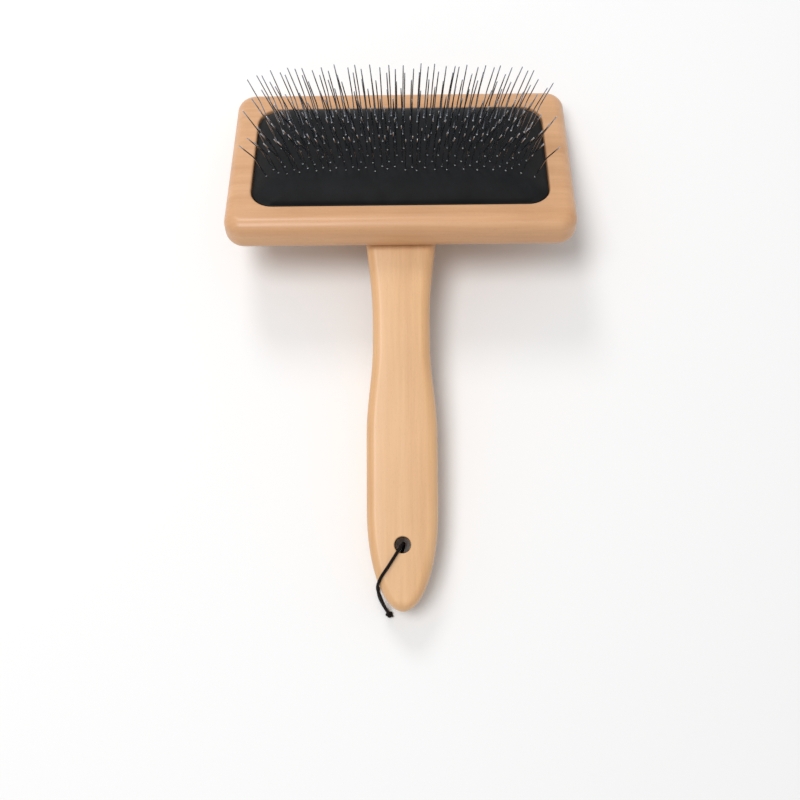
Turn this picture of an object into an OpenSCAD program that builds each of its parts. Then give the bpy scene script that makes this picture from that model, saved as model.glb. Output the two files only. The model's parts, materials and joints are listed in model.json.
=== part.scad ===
// Pet slicker brush: a wooden head and handle, a sprung rubber cushion and rows of bent wire pins.
// The brush lies on a table with its pins up: the handle's end and the head's far edge touch z = 0.
// +Y runs from the handle to the head, +Z is up, and the origin is the middle of the footprint.

/* [Head] */
// Width of the head, side to side
head_w = 115; // [100:1:130]
// Depth of the head, from the handle's side to the far side
head_d = 66.5; // [60:0.5:75]
// Thickness of the head
head_t = 11.3; // [10:0.1:14]
// Radius of the head's corners, seen from above
head_corner = 6.6; // [5:0.2:12]
// Radius that rounds the head's long edges, top and bottom
edge_round = 4.2; // [3:0.1:4.8]
// Depth of the pocket that holds the cushion
pocket_depth = 6; // [5:0.1:7]

/* [Cushion] */
// Width of the rubber pad
pad_w = 97.4; // [92:0.2:99]
// Depth of the rubber pad
pad_d = 46.6; // [42:0.2:50]
// Radius of the pad's corners
pad_corner = 7; // [4:0.5:10]
// Gap between the pad and the pocket's wall
pad_gap = 0.4; // [0.2:0.1:0.8]
// How far the middle of the pad stands above its rim
dome_h = 6.2; // [3:0.1:7]
// Thickness of the rubber
rubber_t = 2; // [1.2:0.1:2.4]
// Thickness of the woven backing
cloth_t = 0.8; // [0.5:0.1:1]

/* [Pins] */
// Number of rows of staples
row_count = 11; // [11:1:11]
// Number of staples in a row; each gives two pins
staples_per_row = 9; // [5:1:9]
// Depth of the field of pins, from the first row to the last
field_d = 26.6; // [24:0.2:28]
// Mean distance between two pins in a row
pin_pitch = 4.8; // [4:0.05:4.8]
// Distance between the two legs of one staple
leg_gap = 4.2; // [3:0.05:4.4]
// Diameter of the pin wire
wire_d = 0.4; // [0.3:0.05:0.6]
// Length of a pin from the rubber to its knee
shank_len = 9.5; // [6:0.5:10]
// Length of a pin from its knee to its tip
tip_len = 10; // [8:0.5:12]
// Bend at the knee, back towards the handle
knee_bend = 20; // [0:1:30]
// Sideways lean of the outermost pins
side_lean = 17; // [0:1:24]
// Lean of the middle rows towards the far edge
mid_lean = 5; // [0:1:10]
// Further lean of the first and last rows
end_lean = 12; // [0:1:12]

/* [Handle] */
// Length of the handle, from the head to its tip
handle_len = 120.3; // [110:0.1:130]
// Angle between the handle and the head
handle_bend = 27; // [15:1:32]
// Width of the handle under the head
root_w = 26; // [22:0.2:28]
// Width of the handle's neck
neck_w = 18.8; // [16:0.1:22]
// Greatest width of the handle
belly_w = 23; // [20:0.1:26]
// Greatest thickness of the handle
belly_t = 17; // [15:0.1:19]
// Thickness of the handle near the hanging hole
end_t = 12.8; // [12:0.1:14]
// Radius that rounds the handle's edges
handle_round = 3.2; // [2.4:0.1:4]
// Diameter of the hanging hole
hang_hole_d = 5.2; // [4:0.1:6]
// Distance of the hanging hole from the handle's tip
hang_hole_from_tip = 21; // [18:0.5:26]

/* [Screws and cord] */
// Diameter of the handle screws' shank
screw_d = 3.5; // [3:0.5:4]
// Diameter of the handle screws' heads
screw_head_d = 7; // [6:0.5:8]
// Depth of the screws in the handle
screw_bite = 6.5; // [5:0.5:7]
// Diameter of the hanging cord
cord_d = 1; // [0.8:0.1:1.2]

/* [Hidden] */

// Lengths below are in millimetres. In the head's own frame y runs from the handle's side to the
// far side and z up from the head's back; in the handle's own frame z is up from its front face.

// Cushion: pocket floor, height of the rubber's rim, and how deep each layer lies in the dome.
floor_z = head_t - pocket_depth;
rim_sink = 0.6;
rim_z = head_t - rim_sink;
pad_y = head_d / 2;
dome_power = 5;
layer_gap = 0.05;
foam_gap = 1;
cloth_drop = rubber_t + layer_gap;
crown_drop = cloth_drop + cloth_t + layer_gap + wire_d / 2;
foam_drop = crown_drop + wire_d / 2 + foam_gap;
pad_rings = [1, 0.97, 0.93, 0.87, 0.79, 0.69, 0.56, 0.4, 0.2];
corner_steps = 9;

// Pins: half the width of the field they stand in, how the rows crowd towards its near and far
// edges (the angle of the sine that spaces them), the steps of their stagger, and the wire's sides.
field_w = (staples_per_row - 0.5) * pin_pitch;
row_crowding = 75;
stagger = [1.5, -1.5, -0.5, 0.5];
wire_sides = 6;

// Handle: distances along it from the point where its front face leaves the head's back.
join_y = 4;
flare_s = -20;
neck_s = 26;
waist_s = 34;
belly_s = 64;
taper_s = 74;
end_s = 104;
tip_curve = 32;
tip_flat = 2.4;
neck_t = belly_t - 1.5;
hang_hole_s = handle_len - hang_hole_from_tip;
section_steps = 9;
scarf_end_y = 36;
stations = concat(
    [for (s = [-36:12:-12]) s],
    [for (s = [0:6:30]) s],
    [for (s = [34:4:handle_len - 6]) s],
    [for (d = [4, 2.6, 1.5, 0.7, 0.2, 0]) handle_len - d]);

// Screws: distances in from the head's near edge, countersink, clearance, and the cross recess.
screw_places = [14, 23];
screw_sink = 2.2;
screw_drop = 0.1;
screw_play = 0.4;
pilot_play = 0.2;
recess_l = 3.6;
recess_w = 0.8;
recess_depth = 1.2;

// Lying angle: the head's far bottom edge and the back of the handle touch the table.
head_tilt = max([for (s = stations) lie_angle(s)]);
head_lift = (head_d - edge_round) * sin(head_tilt) + edge_round * (1 - cos(head_tilt));
handle_slope = handle_bend - head_tilt;

// Cord: its route round the handle's end as [x, distance from the tip towards the head, height].
cord_sides = 8;
cord_steps = 4;
knot_r = 1;
tail_len = 1.8;
tail_d = 0.8;
tail_angles = [125, 185];
knot_at = [-4.6, -0.4, 1.05];
cord_route = [
    [-4.9, 0, 0.65],
    [-6.5, 2.4, 0.65],
    [-7.9, 5.2, 0.65],
    [-8.2, 8, 0.65],
    [-6.9, 11.2, 0.65],
    [-4.3, 14.6, 0.65],
    [-1.9, 17.6, 0.65],
    [-0.4, 19.9, 0.7],
    [0.1, 21.4, 1.4],
    [0.25, 22.2, 3],
    [0.3, 22.2, 5.4],
    [0.2, 21.9, 9],
    [0.05, 21.5, 12],
    [-0.2, 21.1, 13.8],
    [-0.7, 20.3, 15.1],
    [-1.5, 19, 15.7],
    [-2.7, 17.1, 15.6],
    [-4.6, 14.2, 15.35],
    [-7.1, 10.5, 14.6],
    [-8.1, 7.6, 12],
    [-7.2, 4.8, 8],
    [-6.1, 2, 4.2],
    [-4.8, -0.1, 1.8]];

// Footprint, and the shift that puts its middle at the origin.
far_y = (head_d - edge_round) * cos(head_tilt) + (head_t - edge_round) * sin(head_tilt) + edge_round;
tip_y = join_y * cos(head_tilt) - handle_len * cos(handle_slope);
near_y = tip_y + handle_round * sin(handle_slope);
mid_y = (far_y + near_y) / 2;

// ---- frames ----

// Places the head's own frame in the lying brush.
module head_frame()
{
    translate([0, -mid_y, head_lift])
        rotate([-head_tilt, 0, 0])
            children();
}

// Places the handle's own frame, from inside the head's: y is towards the head.
module handle_frame()
{
    translate([0, join_y, 0])
        rotate([handle_bend, 0, 0])
            children();
}

// ---- skins ----

function unit(v) = v / norm(v);

// Joins rings of equal length into a closed skin, with a flat cap at each end.
module skin(rings)
{
    n = len(rings[0]);
    last = len(rings) - 1;
    walls = [
        for (r = [0:last - 1], k = [0:n - 1])
            let (a = r * n + k, b = r * n + (k + 1) % n)
            each [[a, a + n, b + n], [a, b + n, b]]
    ];
    start_cap = [for (k = [0:n - 1]) k];
    end_cap = [for (k = [n - 1:-1:0]) last * n + k];
    polyhedron(
        points = [for (ring = rings) each ring],
        faces = concat(walls, [start_cap, end_cap]));
}

// Direction of a path at one of its points, and how much the mitre there is stretched.
function path_dir(path, k) =
    let (a = path[max(k - 1, 0)], p = path[k], b = path[min(k + 1, len(path) - 1)])
    k == 0 ? unit(b - p) : k == len(path) - 1 ? unit(p - a) : unit(unit(p - a) + unit(b - p));

function mitre(path, k) = k == 0 ? 1 : 1 / (path_dir(path, k) * unit(path[k] - path[k - 1]));

// One ring of a round tube, square to the path; across is never in line with the path.
function tube_ring(path, k, r, sides, across) =
    let (d = path_dir(path, k), u = unit(cross(across, d)), v = cross(d, u), m = mitre(path, k))
    [for (j = [0:sides - 1])
        path[k] + r * cos(j * 360 / sides) * m * u + r * sin(j * 360 / sides) * v];

module tube(path, r, sides, across)
{
    skin([for (k = [0:len(path) - 1]) tube_ring(path, k, r, sides, across)]);
}

// ---- outlines ----

// A rectangle with round corners, centred on the origin.
module round_rect(w, d, r)
{
    square([w - 2 * r, d], center = true);
    square([w, d - 2 * r], center = true);
    for (x = [-1, 1], y = [-1, 1])
        translate([x * (w / 2 - r), y * (d / 2 - r)])
            circle(r = r, $fn = 64);
}

// The pad's outline as points, with the same number of steps round each corner.
pad_outline = [
    for (quarter = [0:3], k = [0:corner_steps])
        let (a = quarter * 90 + k * 90 / corner_steps,
            x = quarter == 0 || quarter == 3 ? 1 : -1,
            y = quarter < 2 ? 1 : -1)
        [x * (pad_w / 2 - pad_corner) + pad_corner * cos(a),
            y * (pad_d / 2 - pad_corner) + pad_corner * sin(a)]
];

// ---- head ----

// A bar with rounded long edges, centred on the origin in x and y, from z = 0 up.
module round_bar(len_x, w)
{
    translate([0, 0, head_t / 2])
        rotate([90, 0, 90])
            linear_extrude(height = len_x, center = true)
                round_rect(w, head_t, edge_round);
}

// A quarter of a round puck with the same edges.
module corner_puck()
{
    translate([0, 0, head_t / 2])
        rotate_extrude(angle = 90, $fn = 96)
            intersection()
            {
                round_rect(2 * head_corner, head_t, edge_round);
                translate([0, -head_t])
                    square([head_corner + 1, 2 * head_t]);
            }
}

module head_body()
{
    translate([0, pad_y, 0])
    {
        round_bar(head_w - 2 * head_corner, head_d);
        rotate([0, 0, 90])
            round_bar(head_d - 2 * head_corner, head_w);
        for (k = [0:3])
            translate([
                (k == 0 || k == 3 ? 1 : -1) * (head_w / 2 - head_corner),
                (k < 2 ? 1 : -1) * (head_d / 2 - head_corner),
                0])
                rotate([0, 0, k * 90])
                    corner_puck();
    }
}

// Clearance hole and countersink for one screw, in the pocket's floor.
module screw_clearance()
{
    translate([0, 0, -1])
        cylinder(d = screw_d + screw_play, h = floor_z + 2, $fn = 32);
    translate([0, 0, floor_z - screw_drop - screw_sink])
        cylinder(
            d1 = screw_d + screw_play,
            d2 = screw_head_d + screw_play,
            h = screw_sink,
            $fn = 48);
    translate([0, 0, floor_z - screw_drop])
        cylinder(d = screw_head_d + screw_play, h = 1, $fn = 48);
}

module head_block()
{
    color("#dcb48c")
        head_frame()
            difference()
            {
                head_body();
                translate([0, pad_y, floor_z])
                    linear_extrude(height = pocket_depth + 1)
                        round_rect(pad_w + 2 * pad_gap, pad_d + 2 * pad_gap, pad_corner + pad_gap);
                for (y = screw_places)
                    translate([0, y, 0])
                        screw_clearance();
            }
}

// ---- handle ----

// A smooth step from a to b as t runs from 0 to 1.
function ease(a, b, t) = a + (b - a) * (1 - cos(180 * min(1, max(0, t)))) / 2;

// Width of the handle before its tip is rounded, and its thickness.
function plan_w(s) = s < neck_s
    ? ease(root_w, neck_w, (s - flare_s) / (neck_s - flare_s))
    : ease(neck_w, belly_w, (s - waist_s) / (belly_s - waist_s));
function thick(s) = s < taper_s
    ? ease(neck_t, belly_t, (s - neck_s) / (belly_s - neck_s))
    : ease(belly_t, end_t, (s - taper_s) / (end_s - taper_s));

// Half the handle's width, with its tip rounded like half an ellipse.
function half_w(s) =
    let (u = max(0, (s - handle_len + tip_curve) / tip_curve))
    max(tip_flat / 2, plan_w(s) / 2 * sqrt(max(0, 1 - u * u)));

// How far the front and the back are rounded away at the end of the handle.
function tip_drop(s) =
    let (u = max(0, s - handle_len + handle_round))
    handle_round - sqrt(max(0, handle_round * handle_round - u * u));

// One ring of the handle: a flat front, back and sides with rounded edges.
function handle_ring(s) =
    let (hw = half_w(s),
        mid = thick(s) / 2,
        ht = mid - tip_drop(s),
        r = min(handle_round, 0.9 * hw))
    [for (quarter = [0:3], k = [0:section_steps])
        let (a = quarter * 90 + k * 90 / section_steps,
            x = quarter == 0 || quarter == 3 ? 1 : -1,
            z = quarter < 2 ? 1 : -1)
        [x * (hw - r) + r * cos(a), -s, z * (ht - r) + r * sin(a) - mid]];

// Angle of the table against the head's back if the handle touched it at s.
function lie_angle(s) =
    let (depth = thick(s) - tip_drop(s),
        run = head_d - edge_round - join_y + s * cos(handle_bend) - depth * sin(handle_bend),
        rise = edge_round + s * sin(handle_bend) + depth * cos(handle_bend))
    run <= 0 ? -90 : atan2(rise, run) - asin(min(1, edge_round / norm([run, rise])));

module handle_body()
{
    handle_frame()
        difference()
        {
            skin([for (s = stations) handle_ring(s)]);
            translate([0, -hang_hole_s, -belly_t - 1])
                cylinder(d = hang_hole_d, h = belly_t + 2, $fn = 48);
        }
}

// The handle ends on the head's back, in a scarf with a blunt end.
module handle()
{
    color("#e5bc92")
        head_frame()
            difference()
            {
                handle_body();
                translate([-head_w / 2, join_y - 1 - head_d, 0])
                    cube([head_w, 2 * head_d, head_d]);
                translate([-head_w / 2, scarf_end_y, -head_t])
                    cube([head_w, head_d, 2 * head_t]);
                for (y = screw_places)
                    translate([0, y, -screw_bite])
                        cylinder(d = screw_d - pilot_play, h = screw_bite + 1, $fn = 32);
            }
}

// ---- screws ----

// A countersunk wood screw with a cross recess, its head just below the pocket's floor.
module screw()
{
    difference()
    {
        union()
        {
            translate([0, 0, floor_z - screw_drop - screw_sink])
                cylinder(d1 = screw_d, d2 = screw_head_d, h = screw_sink, $fn = 48);
            translate([0, 0, screw_d / 2 - screw_bite])
                cylinder(
                    d = screw_d,
                    h = screw_bite - screw_d / 2 + floor_z - screw_drop - screw_sink,
                    $fn = 32);
            translate([0, 0, -screw_bite])
                cylinder(d1 = screw_d / 4, d2 = screw_d, h = screw_d / 2, $fn = 32);
        }
        for (a = [0, 90])
            translate([0, 0, floor_z - screw_drop])
                rotate([0, 0, a])
                    cube([recess_l, recess_w, 2 * recess_depth], center = true);
    }
}

module handle_screws()
{
    color("#b8b8b4")
        head_frame()
            for (y = screw_places)
                translate([0, y, 0])
                    screw();
}

// ---- cushion ----

// Height of the rubber's surface, from its middle (0) to its rim (1).
function dome_z(share) = rim_z + dome_h * (1 - pow(share, dome_power));

// That share at a place on the pad.
function rim_share(x, y) = max(abs(x) / (pad_w / 2), abs(y - pad_y) / (pad_d / 2));

// A scaled copy of the pad's outline at a height.
function pad_ring(share, z) = [for (p = pad_outline) [p[0] * share, p[1] * share + pad_y, z]];

// The part of the dome inside one of its rings, between two depths.
module domed_layer(first, top_drop, bottom_drop)
{
    inner = len(pad_rings) - 1;
    bottom = [for (k = [inner:-1:first]) pad_ring(pad_rings[k], dome_z(pad_rings[k]) - bottom_drop)];
    top = [for (k = [first:inner]) pad_ring(pad_rings[k], dome_z(pad_rings[k]) - top_drop)];
    skin(concat(bottom, top));
}

module foam_cushion()
{
    first = 2;
    inner = len(pad_rings) - 1;
    top = [for (k = [first:inner]) pad_ring(pad_rings[k], dome_z(pad_rings[k]) - foam_drop)];
    color("#c9c2b4")
        head_frame()
            skin(concat([pad_ring(pad_rings[first], floor_z + layer_gap)], top));
}

module backing_cloth()
{
    color("#6b6256")
        head_frame()
            domed_layer(1, cloth_drop, cloth_drop + cloth_t);
}

module rubber_pad()
{
    color("#26282a")
        head_frame()
            domed_layer(0, 0, rubber_t);
}

// ---- pins ----

// Direction of the pin that stands at a place on the pad, below and above its knee.
function lean(x, y) = unit([
    tan(side_lean * x / field_w),
    tan(mid_lean + end_lean * 2 * (y - pad_y) / field_d),
    1]);
function bent(d) = [
    d[0],
    d[1] * cos(knee_bend) - d[2] * sin(knee_bend),
    d[1] * sin(knee_bend) + d[2] * cos(knee_bend)];

// One leg's path from its crown to its tip.
function leg(x, y) =
    let (d = lean(x, y), root = [x, y, dome_z(rim_share(x, y))], knee = root + shank_len * d)
    [root - crown_drop / d[2] * d, knee, knee + tip_len * bent(d)];

function reversed(list) = [for (k = [len(list) - 1:-1:0]) list[k]];

// A staple: two legs joined by a crown under the cloth.
module staple(x, y)
{
    tube(concat(reversed(leg(x - leg_gap / 2, y)), leg(x + leg_gap / 2, y)), wire_d / 2, wire_sides,
        [0, 1, 0]);
}

// Place of a row across the pad.
function row_y(row) =
    let (t = 2 * (row - 1) / (row_count - 1) - 1)
    pad_y + field_d / 2 * sin(row_crowding * t) / sin(row_crowding);

// One row of staples; the rows are shifted sideways in steps that repeat every four rows.
module staple_row(row)
{
    shift = stagger[(row - 1) % len(stagger)] * pin_pitch / 2;
    y = row_y(row);
    color("#9a9c9e")
        head_frame()
            for (k = [0:staples_per_row - 1])
                staple((k - (staples_per_row - 1) / 2) * 2 * pin_pitch + shift, y);
}

module staple_row_01()
{
    staple_row(1);
}

module staple_row_02()
{
    staple_row(2);
}

module staple_row_03()
{
    staple_row(3);
}

module staple_row_04()
{
    staple_row(4);
}

module staple_row_05()
{
    staple_row(5);
}

module staple_row_06()
{
    staple_row(6);
}

module staple_row_07()
{
    staple_row(7);
}

module staple_row_08()
{
    staple_row(8);
}

module staple_row_09()
{
    staple_row(9);
}

module staple_row_10()
{
    staple_row(10);
}

module staple_row_11()
{
    staple_row(11);
}

// ---- cord ----

// A smooth curve through four points, from the second to the third.
function curve(a, b, c, d, t) =
    (2 * b + (c - a) * t + (2 * a - 5 * b + 4 * c - d) * t * t + (3 * b - a - 3 * c + d) * pow(t, 3)) / 2;

function route_point(k) = cord_route[min(max(k, 0), len(cord_route) - 1)];

cord_path = concat(
    [for (k = [0:len(cord_route) - 2], j = [0:cord_steps - 1])
        curve(route_point(k - 1), route_point(k), route_point(k + 1), route_point(k + 2), j / cord_steps)],
    [cord_route[len(cord_route) - 1]]);

module hang_cord()
{
    color("#2c211b")
        translate([0, tip_y - mid_y, 0])
            tube(cord_path, cord_d / 2, cord_sides, [1, 0, 0]);
}

// The knot, with the cord's two cut ends.
module cord_knot()
{
    color("#2c211b")
        translate([0, tip_y - mid_y, 0])
            translate(knot_at)
            {
                sphere(r = knot_r, $fn = 32);
                for (a = tail_angles)
                    rotate([0, 0, a])
                        translate([knot_r / 3, 0, knot_r / 10])
                            rotate([0, 88, 0])
                                cylinder(d = tail_d, h = knot_r + tail_len, $fn = 16);
            }
}

head_block();
handle();
handle_screws();
foam_cushion();
backing_cloth();
rubber_pad();
staple_row_01();
staple_row_02();
staple_row_03();
staple_row_04();
staple_row_05();
staple_row_06();
staple_row_07();
staple_row_08();
staple_row_09();
staple_row_10();
staple_row_11();
hang_cord();
cord_knot();
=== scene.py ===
"""Looks of a wooden slicker brush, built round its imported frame.

Metres throughout; +Y runs from the handle to the head, +Z is up. Sizes repeat those of the CAD part.
"""

import json
import math
import random

import bmesh
import bpy
from mathutils import Matrix, Vector


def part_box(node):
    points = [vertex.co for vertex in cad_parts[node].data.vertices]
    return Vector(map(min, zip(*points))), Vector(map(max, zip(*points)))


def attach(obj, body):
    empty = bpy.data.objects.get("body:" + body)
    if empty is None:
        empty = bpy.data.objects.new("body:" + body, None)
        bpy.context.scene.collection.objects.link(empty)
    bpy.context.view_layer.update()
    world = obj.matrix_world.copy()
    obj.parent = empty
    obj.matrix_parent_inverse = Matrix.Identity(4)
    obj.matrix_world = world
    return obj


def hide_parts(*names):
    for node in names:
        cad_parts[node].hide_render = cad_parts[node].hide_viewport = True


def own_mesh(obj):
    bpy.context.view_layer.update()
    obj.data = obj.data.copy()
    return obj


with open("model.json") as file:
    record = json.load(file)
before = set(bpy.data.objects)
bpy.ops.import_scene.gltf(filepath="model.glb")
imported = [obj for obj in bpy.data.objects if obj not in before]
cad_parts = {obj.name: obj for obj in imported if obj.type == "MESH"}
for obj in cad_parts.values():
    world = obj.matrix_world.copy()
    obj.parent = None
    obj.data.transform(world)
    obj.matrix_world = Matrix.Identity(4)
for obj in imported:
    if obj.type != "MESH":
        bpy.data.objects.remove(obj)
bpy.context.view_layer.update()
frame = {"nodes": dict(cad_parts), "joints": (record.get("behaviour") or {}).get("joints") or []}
MM = 0.001

# Head and cushion, in millimetres; the head's own frame has z up from its back.
HEAD_W, HEAD_D, HEAD_T = 115, 66.5, 11.3
HEAD_CORNER, EDGE_ROUND = 6.6, 4.2
POCKET_DEPTH, PAD_GAP = 6, 0.4
PAD_W, PAD_D, PAD_CORNER = 97.4, 46.6, 7
PAD_Y = HEAD_D / 2
RIM_Z = HEAD_T - 0.6
FLOOR_Z = HEAD_T - POCKET_DEPTH
DOME_H, DOME_POWER = 6.2, 5
RUBBER_T, CLOTH_T = 2, 0.8
LAYER_GAP, FOAM_GAP = 0.05, 1

# Pins.
ROWS, STAPLES = 11, 9
FIELD_D, PIN_PITCH, LEG_GAP = 26.6, 4.8, 4.2
ROW_CROWDING = math.radians(75)
STAGGER = (1.5, -1.5, -0.5, 0.5)
WIRE_D, SHANK, TIP = 0.4, 9.5, 10
KNEE_BEND, SIDE_LEAN, MID_LEAN, END_LEAN = 20, 17, 5, 12
KNEE_CURL = 1.1
# Length of a pin that is hidden below the rubber's surface.
BURIED = 0.35
WIRE_SIDES = 8
# Each pin has a short, wider ring at its root. The pin steel paints it near-white and not metallic, a painted
# glint where the wire leaves the rubber.
COLLAR_AT, COLLAR_R = (-0.1, 0.0, 0.22, 0.32), 0.25

# Handle; s is the distance along it from the point where it leaves the head.
JOIN_Y = 4
HANDLE_LEN, HANDLE_BEND = 120.3, 27
ROOT_W, NECK_W, BELLY_W = 26, 18.8, 23
BELLY_T, END_T = 17, 12.8
FLARE_S, NECK_S, WAIST_S, BELLY_S, TAPER_S, END_S = -20, 26, 34, 64, 74, 104
TIP_CURVE, TIP_FLAT, HANDLE_ROUND = 32, 2.4, 3.2
HOLE_D, HOLE_S = 5.2, HANDLE_LEN - 21
SCARF_END_Y = 36

# Where the head's frame and the handle's frame lie, from the frame's own joint and boxes.
PRESS_AXIS = Vector(frame["joints"][0]["axis"])
TILT = math.atan2(-PRESS_AXIS.y, -PRESS_AXIS.z)
LIFT = (HEAD_D - EDGE_ROUND) * math.sin(TILT) + EDGE_ROUND * (1 - math.cos(TILT))
FAR_Y = (HEAD_D - EDGE_ROUND) * math.cos(TILT) + (HEAD_T - EDGE_ROUND) * math.sin(TILT) + EDGE_ROUND
MID_Y = FAR_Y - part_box("head_block")[1][1] / MM
SLOPE = math.radians(HANDLE_BEND) - TILT
TIP_Y = JOIN_Y * math.cos(TILT) - HANDLE_LEN * math.cos(SLOPE) - MID_Y
HEAD = (Matrix.Scale(MM, 4) @ Matrix.Translation((0, -MID_Y, LIFT)) @ Matrix.Rotation(-TILT, 4, "X"))
HANDLE = HEAD @ Matrix.Translation((0, JOIN_Y, 0)) @ Matrix.Rotation(math.radians(HANDLE_BEND), 4, "X")


# ---- camera ----

def make_camera():
    data = bpy.data.cameras.new("camera")
    data.lens = 47.7
    data.sensor_width = 36
    data.clip_start = 0.01
    camera = bpy.data.objects.new("camera", data)
    camera.location = (0.0038, -0.0961, 0.3534)
    camera.rotation_euler = [math.radians(a) for a in (12.27, 0.81, -0.31)]
    bpy.context.collection.objects.link(camera)
    bpy.context.scene.camera = camera


make_camera()


# ---- mesh helpers ----

def add_mesh(name, verts, faces, place=None, smooth_below=40):
    """A mesh object from points in millimetres, put in place by a matrix, smooth below an angle."""
    mesh = bpy.data.meshes.new(name)
    mesh.from_pydata([Vector(v) for v in verts], [], faces)
    mesh.transform(place or Matrix.Scale(MM, 4))
    bm = bmesh.new()
    bm.from_mesh(mesh)
    bmesh.ops.recalc_face_normals(bm, faces=bm.faces)
    bm.to_mesh(mesh)
    bm.free()
    obj = bpy.data.objects.new(name, mesh)
    bpy.context.collection.objects.link(obj)
    shade(obj, smooth_below)
    return obj


def shade(obj, smooth_below):
    mesh = obj.data
    mesh.polygons.foreach_set("use_smooth", [True] * len(mesh.polygons))
    mesh.set_sharp_from_angle(angle=math.radians(smooth_below))


def loft(rings):
    """Points and faces of a closed skin over rings of equal length."""
    n = len(rings[0])
    verts = [p for ring in rings for p in ring]
    faces = [
        (r * n + k, r * n + (k + 1) % n, (r + 1) * n + (k + 1) % n, (r + 1) * n + k)
        for r in range(len(rings) - 1) for k in range(n)
    ]
    last = (len(rings) - 1) * n
    return verts, faces + [tuple(range(n)), tuple(range(last + n - 1, last - 1, -1))]


def round_rect(w, d, r, z, steps=10, centre_y=PAD_Y):
    """A ring of points round a rectangle with round corners."""
    points = []
    for quarter in range(4):
        x = 1 if quarter in (0, 3) else -1
        y = 1 if quarter < 2 else -1
        for k in range(steps + 1):
            a = math.radians(quarter * 90 + k * 90 / steps)
            points.append((x * (w / 2 - r) + r * math.cos(a),
                           centre_y + y * (d / 2 - r) + r * math.sin(a), z))
    return points


def cut(obj, verts, faces, place):
    """Takes a closed shape out of obj."""
    tool = add_mesh(obj.name + "_cut", verts, faces, place)
    modifier = obj.modifiers.new("cut", "BOOLEAN")
    modifier.operation = "DIFFERENCE"
    modifier.solver = "EXACT"
    modifier.object = tool
    bake_modifiers(obj)
    bpy.data.objects.remove(tool)


def paint_hole(handle, material):
    """Gives the faces inside the hanging hole their own material, the near-black painted shade."""
    handle.data.materials.append(material)
    to_hole = HANDLE.inverted()
    for face in handle.data.polygons:
        middle = to_hole @ face.center
        inside = math.hypot(middle.x, middle.y + HOLE_S) < HOLE_D / 2 + 0.05
        face.material_index = 1 if inside else 0


def bake_modifiers(obj):
    bpy.context.view_layer.update()
    made = bpy.data.meshes.new_from_object(obj.evaluated_get(bpy.context.evaluated_depsgraph_get()))
    obj.modifiers.clear()
    obj.data = made


def box_shape(low, high):
    corners = [(x, y, z) for z in (low[2], high[2]) for x, y in
               ((low[0], low[1]), (high[0], low[1]), (high[0], high[1]), (low[0], high[1]))]
    return corners, [(3, 2, 1, 0), (4, 5, 6, 7), (0, 1, 5, 4), (1, 2, 6, 5), (2, 3, 7, 6), (3, 0, 4, 7)]


def tube_rings(path, radii, across, sides=8):
    """Rings square to a path of points, each with its own radius."""
    rings = []
    for k, p in enumerate(path):
        a, b = path[max(k - 1, 0)], path[min(k + 1, len(path) - 1)]
        d = (b - a).normalized()
        u = across.cross(d).normalized()
        v = d.cross(u)
        rings.append([p + radii[k] * (math.cos(t) * u + math.sin(t) * v)
                      for t in (j * math.tau / sides for j in range(sides))])
    return rings


# ---- cord ----

# The route of part.scad: x, distance from the handle's tip towards the head, height.
KNOT_AT = (-4.6, -0.4, 1.05)
CORD_D = 1
CORD_ROUTE = [
    (-4.9, 0, 0.65), (-6.5, 2.4, 0.65), (-7.9, 5.2, 0.65), (-8.2, 8, 0.65), (-6.9, 11.2, 0.65),
    (-4.3, 14.6, 0.65), (-1.9, 17.6, 0.65), (-0.4, 19.9, 0.7), (0.1, 21.4, 1.4), (0.25, 22.2, 3),
    (0.3, 22.2, 5.4), (0.2, 21.9, 9), (0.05, 21.5, 12),
    (-0.2, 21.1, 13.8), (-0.7, 20.3, 15.1), (-1.5, 19, 15.7), (-2.7, 17.1, 15.6),
    (-4.6, 14.2, 15.35), (-7.1, 10.5, 14.6), (-8.1, 7.6, 12), (-7.2, 4.8, 8),
    (-6.1, 2, 4.2), (-4.8, -0.1, 1.8),
]
CORD_STEPS = 8
TAILS = ((-30, 1.25), (190, 1.15))


def curve_point(a, b, c, d, t):
    return (2 * b + (c - a) * t + (2 * a - 5 * b + 4 * c - d) * t ** 2 + (3 * b - a - 3 * c + d) * t ** 3) / 2


def cord_points():
    route = [Vector((x, y + TIP_Y, z)) for x, y, z in CORD_ROUTE]
    at = lambda k: route[min(max(k, 0), len(route) - 1)]
    points = [curve_point(at(k - 1), at(k), at(k + 1), at(k + 2), j / CORD_STEPS)
              for k in range(len(route) - 1) for j in range(CORD_STEPS)]
    return points + [route[-1]]


def make_cord():
    points = cord_points()
    verts, faces = loft(tube_rings(points, [CORD_D / 2] * len(points), Vector((1, 0, 0)), 12))
    cord = add_mesh("cord_loop", verts, faces, smooth_below=60)
    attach(cord, "brush")
    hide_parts("hang_cord")
    return cord, [p * MM for p in points]


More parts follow.
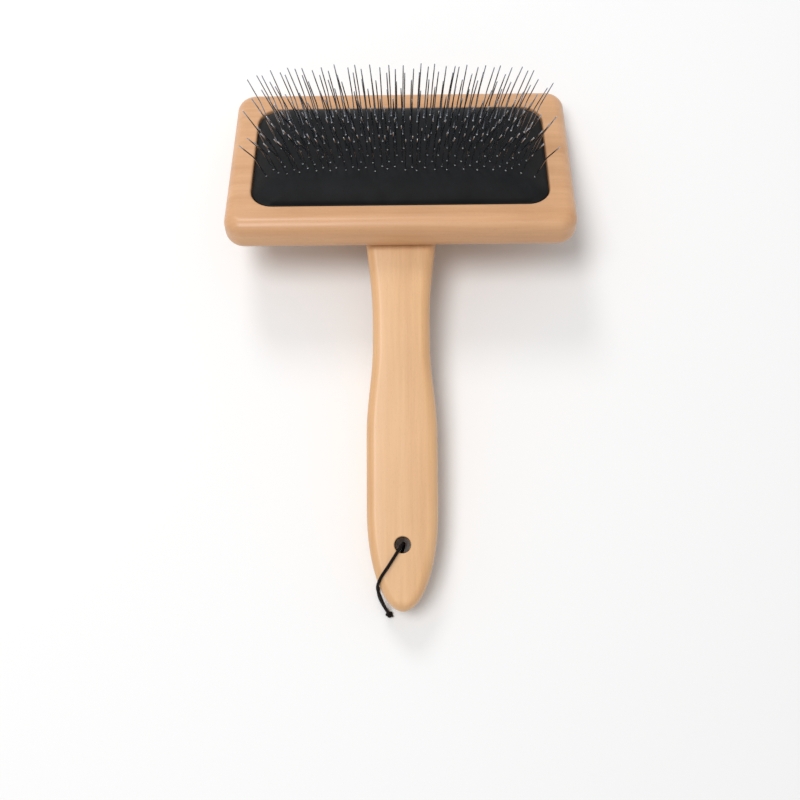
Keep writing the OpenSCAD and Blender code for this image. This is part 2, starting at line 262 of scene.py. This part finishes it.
def make_knot():
    """A tight overhand knot of the same cord, with two short cut ends."""
    centre = Vector((KNOT_AT[0], KNOT_AT[1] + TIP_Y, KNOT_AT[2]))
    size, strand, n, sides = 0.27, 0.5, 48, 10
    turns = []
    for k in range(n):
        t = k * math.tau / n
        turns.append(centre + size * Vector((
            math.sin(t) + 1.5 * math.sin(2 * t),
            math.cos(t) - 1.5 * math.cos(2 * t),
            -1.1 * math.sin(3 * t))))
    verts, faces = [], []
    u = Vector((0, 0, 1))
    for k, p in enumerate(turns):
        d = (turns[(k + 1) % n] - turns[k - 1]).normalized()
        u = (u - u.dot(d) * d).normalized()
        v = d.cross(u)
        verts += [p + strand * (math.cos(j * math.tau / sides) * u + math.sin(j * math.tau / sides) * v)
                  for j in range(sides)]
    for k in range(n):
        for j in range(sides):
            a, b = k * sides, (k + 1) % n * sides
            faces.append((a + j, a + (j + 1) % sides, b + (j + 1) % sides, b + j))
    for angle, reach in TAILS:
        a = math.radians(angle)
        out = Vector((math.cos(a), math.sin(a), 0))
        path = [centre + out * reach * f - Vector((0, 0, 0.4 * f * f)) for f in (0.1, 0.4, 0.7, 0.94, 1)]
        more, more_faces = loft(tube_rings(path, [0.38, 0.38, 0.38, 0.42, 0.3], Vector((0, 0, 1)), 10))
        faces += [tuple(i + len(verts) for i in f) for f in more_faces]
        verts += more
    knot = add_mesh("cord_knot_turns", verts, faces, smooth_below=60)
    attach(knot, "brush")
    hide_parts("cord_knot")
    return knot


cord, cord_path = make_cord()
knot = make_knot()


# ---- head ----

def make_head():
    """One skin: the flat back, the rounded edges, the top, the pocket's eased rim, its wall and floor."""
    steps = 10

    def outer(inset, z):
        return round_rect(HEAD_W - 2 * inset, HEAD_D - 2 * inset, HEAD_CORNER - inset, z)

    def inner(out, z):
        grow = PAD_GAP + out
        return round_rect(PAD_W + 2 * grow, PAD_D + 2 * grow, PAD_CORNER + grow, z)

    rings = [outer(EDGE_ROUND + 1, 0)]
    for k in range(steps + 1):
        a = math.radians(k * 90 / steps)
        rings.append(outer(EDGE_ROUND * (1 - math.sin(a)), EDGE_ROUND * (1 - math.cos(a))))
    for k in range(steps + 1):
        a = math.radians(k * 90 / steps)
        rings.append(outer(EDGE_ROUND * (1 - math.cos(a)), HEAD_T - EDGE_ROUND * (1 - math.sin(a))))
    rings.append(outer(EDGE_ROUND + 0.4, HEAD_T))
    ease = 0.7
    rings.append(inner(ease + 0.4, HEAD_T))
    for k in range(6):
        a = math.radians(k * 90 / 5)
        rings.append(inner(ease * (1 - math.sin(a)), HEAD_T - ease * (1 - math.cos(a))))
    rings += [inner(0, FLOOR_Z + 0.3), inner(-0.3, FLOOR_Z)]
    verts, faces = loft(rings)
    head = add_mesh("head_wood", verts, faces, HEAD, smooth_below=50)
    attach(head, "brush")
    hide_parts("head_block")
    return head


# ---- handle ----

def ease(a, b, t):
    return a + (b - a) * (1 - math.cos(math.pi * min(1, max(0, t)))) / 2


NECK_T = BELLY_T - 1.5


def plan_w(s):
    if s < NECK_S:
        return ease(ROOT_W, NECK_W, (s - FLARE_S) / (NECK_S - FLARE_S))
    return ease(NECK_W, BELLY_W, (s - WAIST_S) / (BELLY_S - WAIST_S))


def thick(s):
    if s < TAPER_S:
        return ease(NECK_T, BELLY_T, (s - NECK_S) / (BELLY_S - NECK_S))
    return ease(BELLY_T, END_T, (s - TAPER_S) / (END_S - TAPER_S))


def handle_half_w(s):
    u = max(0, (s - HANDLE_LEN + TIP_CURVE) / TIP_CURVE)
    return max(TIP_FLAT / 4, plan_w(s) / 2 * math.sqrt(max(0, 1 - u * u)))


def tip_drop(s):
    u = max(0, s - HANDLE_LEN + HANDLE_ROUND)
    return HANDLE_ROUND - math.sqrt(max(0, HANDLE_ROUND ** 2 - u * u))


def handle_ring(s, steps=10, flat_steps=4):
    """A flat front, back and sides with rounded edges; the flats are divided so that they curve cleanly."""
    half_w, mid = handle_half_w(s), thick(s) / 2
    half_t = mid - tip_drop(s)
    r = min(HANDLE_ROUND, 0.9 * half_w)
    ring = []
    for quarter in range(4):
        x = 1 if quarter in (0, 3) else -1
        z = 1 if quarter < 2 else -1
        for k in range(steps + 1):
            a = math.radians(quarter * 90 + k * 90 / steps)
            ring.append(Vector((x * (half_w - r) + r * math.cos(a), -s,
                                z * (half_t - r) + r * math.sin(a) - mid)))
    divided = []
    for k, p in enumerate(ring):
        divided.append(p)
        if k % (steps + 1) == steps:
            after = ring[(k + 1) % len(ring)]
            divided += [p.lerp(after, j / flat_steps) for j in range(1, flat_steps)]
    return divided


def lathe(profile, sides=40):
    """A closed solid of revolution about z from (radius, z) points, bottom to top."""
    return loft([[(r * math.cos(a), r * math.sin(a), z) for a in (k * math.tau / sides for k in range(sides))]
                 for r, z in profile])


def make_handle():
    stations = [-36, -30, -24, -18, -12, -6] + [2 * k for k in range(57)]
    stations += [HANDLE_LEN - 5.5 * (1 - k / 12) ** 1.7 for k in range(13)]
    verts, faces = loft([handle_ring(s) for s in stations])
    handle = add_mesh("handle_wood", verts, faces, HANDLE)
    cut(handle, *box_shape((-40, -60, 0), (40, 60, 60)), HEAD)
    cut(handle, *box_shape((-40, SCARF_END_Y, -30), (40, 60, 30)), HEAD)
    r, soft = HOLE_D / 2, 0.45
    back = -thick(HOLE_S)
    rim = [(r + soft * (1 - math.cos(a)), soft * (1 - math.sin(a))) for a in (0, 0.5, 1, 1.4)]
    profile = ([(r + soft * 2, back - 1)] + [(q, back + z) for q, z in reversed(rim)]
               + [(q, -z) for q, z in rim] + [(r + soft * 2, 1)])
    cut(handle, *lathe(profile), HANDLE @ Matrix.Translation((0, -HOLE_S, 0)))
    shade(handle, 32)
    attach(handle, "brush")
    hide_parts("handle")
    return handle


# ---- cushion ----

def dome_z(share):
    return RIM_Z + DOME_H * (1 - share ** DOME_POWER)


def rim_share(x, y):
    return max(abs(x) / (PAD_W / 2), abs(y - PAD_Y) / (PAD_D / 2))


def pad_ring(share, z):
    return round_rect(PAD_W * share, PAD_D * share, PAD_CORNER * share, z)


SHARES = [1 - 0.95 * (k / 28) ** 1.5 for k in range(29)]


def domed(name, outer, top_drop, bottom_drop, edge=0.0):
    """A domed layer between two depths below the rubber's surface, with its outer edge eased."""
    shares = [s * outer for s in SHARES]
    bottom = [pad_ring(s, dome_z(s) - bottom_drop) for s in reversed(shares)]
    top = []
    if edge:
        for k in range(5):
            a = math.radians(k * 90 / 4)
            shrink = edge * (1 - math.cos(a))
            top.append(round_rect(PAD_W * outer - 2 * shrink, PAD_D * outer - 2 * shrink,
                                  PAD_CORNER, dome_z(outer) - top_drop - edge * (1 - math.sin(a))))
        shares = [s for s in shares if s < outer - 2.4 * edge / PAD_D]
    top += [pad_ring(s, dome_z(s) - top_drop) for s in shares]
    verts, faces = loft(bottom + top)
    return add_mesh(name, verts, faces, HEAD, smooth_below=50)


def make_cushion():
    cloth_top = RUBBER_T + LAYER_GAP
    drop = RUBBER_T + CLOTH_T + 2 * LAYER_GAP + WIRE_D + FOAM_GAP
    made = []
    for name, node, slot, outer, top, bottom, edge in (
            ("pad_rubber", "rubber_pad", "rubber", 1.0, 0, RUBBER_T, 0.5),
            ("pad_cloth", "backing_cloth", "cloth", 0.97, cloth_top, cloth_top + CLOTH_T, 0),
            ("pad_foam", "foam_cushion", "foam", 0.93, drop, drop + 1.5, 0)):
        piece = domed(name, outer, top, bottom, edge)
        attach(piece, "brush")
        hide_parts(node)
        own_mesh(piece)
        made.append(piece)
    return made


# ---- pins ----

def pin_path(x, y, chance):
    """One pin from under the rubber to its tip, with a rounded knee."""
    x += chance.gauss(0, 0.22)
    y += chance.gauss(0, 0.22)
    lean_x = SIDE_LEAN * x / ((STAPLES - 0.5) * PIN_PITCH) + chance.gauss(0, 0.9)
    lean_y = MID_LEAN + END_LEAN * 2 * (y - PAD_Y) / FIELD_D + chance.gauss(0, 0.9)
    shank = Vector((math.tan(math.radians(lean_x)), math.tan(math.radians(lean_y)), 1)).normalized()
    bend = math.radians(KNEE_BEND + chance.gauss(0, 1.2))
    end = Matrix.Rotation(bend, 3, "X") @ shank
    root = Vector((x, y, dome_z(rim_share(x, y))))
    knee = root + SHANK * shank
    tip = knee + (TIP + chance.gauss(0, 0.25)) * end
    before, after = knee - KNEE_CURL * shank, knee + KNEE_CURL * end
    points = [root - BURIED * shank] + [root + h * shank for h in COLLAR_AT] + [root + 3 * shank, before]
    for t in (0.25, 0.5, 0.75):
        points.append(before * (1 - t) ** 2 + knee * 2 * t * (1 - t) + after * t ** 2)
    return points + [after, (after + tip) / 2, tip - 0.12 * end, tip]


def make_pin_row(row, chance):
    shift = STAGGER[(row - 1) % len(STAGGER)] * PIN_PITCH / 2
    t = 2 * (row - 1) / (ROWS - 1) - 1
    y = PAD_Y + FIELD_D / 2 * math.sin(ROW_CROWDING * t) / math.sin(ROW_CROWDING)
    r = WIRE_D / 2
    radii = [r, r, COLLAR_R, COLLAR_R, r] + [r] * 7 + [r * 0.95, r * 0.45]
    verts, faces, painted_glint = [], [], []
    for k in range(STAPLES):
        for side in (-1, 1):
            x = (k - (STAPLES - 1) / 2) * 2 * PIN_PITCH + shift + side * LEG_GAP / 2
            more, more_faces = loft(tube_rings(pin_path(x, y, chance), radii, Vector((0, 1, 0)), WIRE_SIDES))
            faces += [tuple(i + len(verts) for i in f) for f in more_faces]
            # Each pin's root ring gets a random strength of painted glint.
            painted_glint_level = chance.uniform(0.25, 1)
            painted_glint += [painted_glint_level if i // WIRE_SIDES in (1, 2, 3) else 0.0 for i in range(len(more))]
            verts += more
    pins = add_mesh("pins_row_%02d" % row, verts, faces, HEAD, smooth_below=60)
    attribute = pins.data.attributes.new("painted_glint", "FLOAT", "POINT")
    attribute.data.foreach_set("value", painted_glint)
    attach(pins, "pin_bed")
    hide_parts("staple_row_%02d" % row)
    return pins


# ---- materials ----

class Nodes:
    """A new material, and short ways to add its nodes."""

    def __init__(self, name):
        self.material = bpy.data.materials.new(name)
        self.material.use_nodes = True
        self.tree = self.material.node_tree
        self.tree.nodes.clear()
        self.shader = self.add("ShaderNodeBsdfPrincipled")
        output = self.add("ShaderNodeOutputMaterial")
        self.link(self.shader.outputs[0], output.inputs[0])

    def add(self, kind, **inputs):
        node = self.tree.nodes.new(kind)
        for key, value in inputs.items():
            node.inputs[key.replace("_", " ")].default_value = value
        return node

    def link(self, a, b):
        self.tree.links.new(a, b)

    def set(self, **inputs):
        for key, value in inputs.items():
            socket = self.shader.inputs[key.replace("_", " ")]
            if hasattr(value, "links") or isinstance(value, bpy.types.NodeSocket):
                self.link(value, socket)
            else:
                socket.default_value = value

    def coords(self, scale, rotation=(0, 0, 0)):
        """Object coordinates in millimetres, turned, then stretched."""
        source = self.add("ShaderNodeTexCoord")
        turn = self.add("ShaderNodeMapping", Rotation=rotation)
        grow = self.add("ShaderNodeMapping", Scale=[s / MM for s in scale])
        self.link(source.outputs["Object"], turn.inputs["Vector"])
        self.link(turn.outputs[0], grow.inputs["Vector"])
        return grow.outputs[0]

    def noise(self, vector, scale=1.0, detail=3.0, rough=0.5, distortion=0.0):
        node = self.add("ShaderNodeTexNoise", Scale=scale, Detail=detail, Roughness=rough,
                        Distortion=distortion)
        self.link(vector, node.inputs["Vector"])
        return node.outputs[0]

    def ramp(self, value, *stops):
        node = self.add("ShaderNodeValToRGB")
        elements = node.color_ramp.elements
        while len(elements) < len(stops):
            elements.new(0.5)
        for element, (position, colour) in zip(elements, stops):
            element.position = position
            element.color = (*colour, 1) if hasattr(colour, "__len__") else (colour, colour, colour, 1)
        self.link(value, node.inputs[0])
        return node.outputs[0]

    def mix(self, a, b, factor, mode="MIX"):
        node = self.add("ShaderNodeMix")
        node.data_type = "RGBA"
        node.blend_type = mode
        for value, socket in ((factor, node.inputs[0]), (a, node.inputs[6]), (b, node.inputs[7])):
            if isinstance(value, bpy.types.NodeSocket):
                self.link(value, socket)
            else:
                socket.default_value = (*value, 1) if hasattr(value, "__len__") else value
        return node.outputs[2]

    def bump(self, height, strength, distance):
        node = self.add("ShaderNodeBump", Strength=strength, Distance=distance)
        self.link(height, node.inputs["Height"])
        self.link(node.outputs[0], self.shader.inputs["Normal"])


def srgb(r, g, b):
    """Linear colour from 0-255 display values."""
    return tuple(c / 12.92 if c <= 0.04045 else ((c + 0.055) / 1.055) ** 2.4
                 for c in (r / 255, g / 255, b / 255))


# Light, middle and dark tone of each piece of wood. The head's are set darker than the handle's, a painted
# shade for the head's tilted top.
HEAD_TONES = ((218, 171, 129), (212, 163, 120), (205, 155, 111))
HANDLE_TONES = ((227, 183, 137), (222, 176, 128), (216, 168, 121))


def wood(name, turn, grain_x, tones):
    """Close-grained pale wood with a satin finish; the grain runs along x or y once turned."""
    m = Nodes(name)

    def stretched(along, across):
        size = (along, across, across) if grain_x else (across, along, across)
        return m.coords(size, turn)

    clouds = m.noise(m.coords((0.035, 0.035, 0.035), turn), detail=3, rough=0.5)
    broad = m.noise(stretched(0.010, 0.22), detail=4, rough=0.55, distortion=0.5)
    fine = m.noise(stretched(0.06, 1.3), detail=5, rough=0.6)
    pores = m.noise(stretched(0.9, 5.5), detail=2, rough=0.5)
    light, mid, dark = [srgb(*rgb) for rgb in tones]
    base = m.ramp(broad, (0.3, dark), (0.5, mid), (0.7, light))
    base = m.mix(base, m.ramp(clouds, (0.3, (0.93, 0.90, 0.87)), (0.7, (1.03, 1.03, 1.03))), 0.7, "MULTIPLY")
    base = m.mix(base, m.ramp(fine, (0.3, 0.88), (0.6, 1.0), (0.8, 1.03)), 0.5, "MULTIPLY")
    base = m.mix(base, m.ramp(pores, (0.30, 0.72), (0.42, 1.0)), 0.28, "MULTIPLY")
    m.set(Base_Color=base, IOR=1.45, Specular_IOR_Level=0.5, Coat_Weight=0.2, Coat_Roughness=0.24)
    m.set(Roughness=m.ramp(fine, (0.2, 0.36), (0.8, 0.46)))
    m.bump(m.mix(fine, pores, 0.5), 0.12, 0.00005)
    return m.material


def painted_hole_shade():
    """The hanging hole's wall: near-black painted shade for the deep hole, over an end-grain bump."""
    m = Nodes("painted_hole_shade")
    rings = m.noise(m.coords((0.8, 0.8, 3.0)), detail=3)
    m.set(Base_Color=m.ramp(rings, (0.3, srgb(6, 4, 3)), (0.7, srgb(14, 9, 7))), Roughness=0.95)
    m.set(Specular_IOR_Level=0.0)
    m.bump(rings, 0.4, 0.0001)
    return m.material


def rubber():
    m = Nodes("matt_rubber")
    skin = m.noise(m.coords((3.5, 3.5, 3.5)), detail=4, rough=0.6)
    dust = m.noise(m.coords((0.12, 0.12, 0.12)), detail=3, rough=0.6)
    base = m.ramp(dust, (0.3, srgb(20, 21, 22)), (0.7, srgb(28, 29, 31)))
    m.set(Base_Color=base, Roughness=m.ramp(skin, (0.3, 0.55), (0.7, 0.7)))
    m.set(Specular_IOR_Level=0.13, Sheen_Weight=0.02, Sheen_Roughness=0.5)
    m.bump(skin, 0.25, 0.00008)
    return m.material


def steel(name, dark, light, rough, painted_glint=False):
    m = Nodes(name)
    drawn = m.noise(m.coords((2.2, 2.2, 0.5)), detail=3)
    base = m.ramp(drawn, (0.3, dark), (0.7, light))
    # The root rings are mixed to near-white and made not metallic: a painted glint.
    if painted_glint:
        mask = m.add("ShaderNodeAttribute")
        mask.attribute_name = "painted_glint"
        base = m.mix(base, (0.92, 0.92, 0.92), mask.outputs["Fac"])
        m.set(Metallic=m.ramp(mask.outputs["Fac"], (0.0, 1.0), (0.25, 0.0)))
    else:
        m.set(Metallic=1.0)
    m.set(Base_Color=base, Roughness=m.ramp(drawn, (0.2, rough), (0.8, rough + 0.08)))
    m.bump(drawn, 0.1, 0.00002)
    return m.material


def cord_fibre():
    m = Nodes("waxed_cord")
    source = m.coords((1, 1, 1))
    twist = m.add("ShaderNodeTexWave", Scale=1.4, Distortion=1.2, Detail=2.0)
    twist.bands_direction = "DIAGONAL"
    m.link(source, twist.inputs["Vector"])
    fuzz = m.noise(m.coords((6, 6, 6)), detail=3)
    base = m.ramp(twist.outputs["Fac"], (0.2, srgb(9, 6, 5)), (0.8, srgb(27, 18, 14)))
    m.set(Base_Color=base, Roughness=m.ramp(fuzz, (0.3, 0.6), (0.7, 0.8)), Sheen_Weight=0.02,
          Specular_IOR_Level=0.15)
    m.bump(twist.outputs["Fac"], 0.5, 0.0001)
    return m.material


def woven(name, dark, light, pitch):
    m = Nodes(name)
    threads = []
    for turn in (0, math.pi / 2):
        wave = m.add("ShaderNodeTexWave", Scale=pitch, Distortion=0.4)
        m.link(m.coords((1, 1, 1), (TILT, 0, turn)), wave.inputs["Vector"])
        threads.append(wave.outputs["Fac"])
    weave = m.mix(threads[0], threads[1], 0.5, "MIX")
    m.set(Base_Color=m.ramp(weave, (0.2, dark), (0.8, light)), Roughness=0.85)
    m.bump(weave, 0.6, 0.0001)
    return m.material


def foam():
    m = Nodes("open_foam")
    cells = m.add("ShaderNodeTexVoronoi", Scale=1.0)
    m.link(m.coords((1.6, 1.6, 1.6)), cells.inputs["Vector"])
    base = m.ramp(cells.outputs["Distance"], (0.1, srgb(150, 138, 112)), (0.6, srgb(214, 204, 178)))
    m.set(Base_Color=base, Roughness=0.9)
    m.bump(cells.outputs["Distance"], 0.7, 0.0003)
    return m.material


def dress(obj, material):
    obj.data.materials.clear()
    obj.data.materials.append(material)


def dress_node(name, material):
    for s in frame["nodes"][name].material_slots:
        s.material = material


# ---- stage ----

WORLD_LIGHT = 0.5


def make_stage():
    mesh = bpy.data.meshes.new("floor")
    mesh.from_pydata([(-3, -3, 0), (3, -3, 0), (3, 3, 0), (-3, 3, 0)], [], [(0, 1, 2, 3)])
    floor = bpy.data.objects.new("floor", mesh)
    bpy.context.collection.objects.link(floor)
    m = Nodes("pale_floor")
    m.set(Base_Color=(0.9, 0.9, 0.9, 1), Roughness=0.9, Specular_IOR_Level=0.1)
    dress(floor, m.material)
    world = bpy.data.worlds.new("studio")
    world.use_nodes = True
    background = world.node_tree.nodes["Background"]
    background.inputs["Color"].default_value = (1, 1, 1, 1)
    background.inputs["Strength"].default_value = WORLD_LIGHT
    bpy.context.scene.world = world


def make_light(name, place, size, watts):
    data = bpy.data.lights.new(name, "AREA")
    data.shape = "DISK"
    data.size = size
    data.energy = watts
    light = bpy.data.objects.new(name, data)
    light.location = place
    light.rotation_euler = (-Vector(place)).to_track_quat("-Z", "Y").to_euler()
    bpy.context.collection.objects.link(light)


head = make_head()
handle = make_handle()
pad, cloth, cushion = make_cushion()
chance = random.Random(7)
pin_rows = [make_pin_row(row, chance) for row in range(1, ROWS + 1)]

dress(head, wood("head_grain", (TILT, 0, 0), True, HEAD_TONES))
dress(handle, wood("handle_grain", (-SLOPE, 0, 0), False, HANDLE_TONES))
paint_hole(handle, painted_hole_shade())
dress(pad, rubber())
dress(cloth, woven("backing_weave", srgb(84, 76, 66), srgb(128, 118, 102), 1.2))
dress(cushion, foam())
pin_steel = steel("pin_steel", srgb(160, 165, 172), srgb(188, 193, 200), 0.13, painted_glint=True)
for pins in pin_rows:
    dress(pins, pin_steel)
dress_node("handle_screws", steel("screw_steel", srgb(150, 150, 148), srgb(200, 200, 196), 0.35))
fibre = cord_fibre()
dress(cord, fibre)
dress(knot, fibre)

make_stage()
make_light("key", (-0.3, 0.0, 1.0), 0.5, 5.3)
make_light("rim", (-0.25, 0.85, 0.8), 0.35, 3.4)
bpy.context.scene.view_settings.view_transform = "Standard"
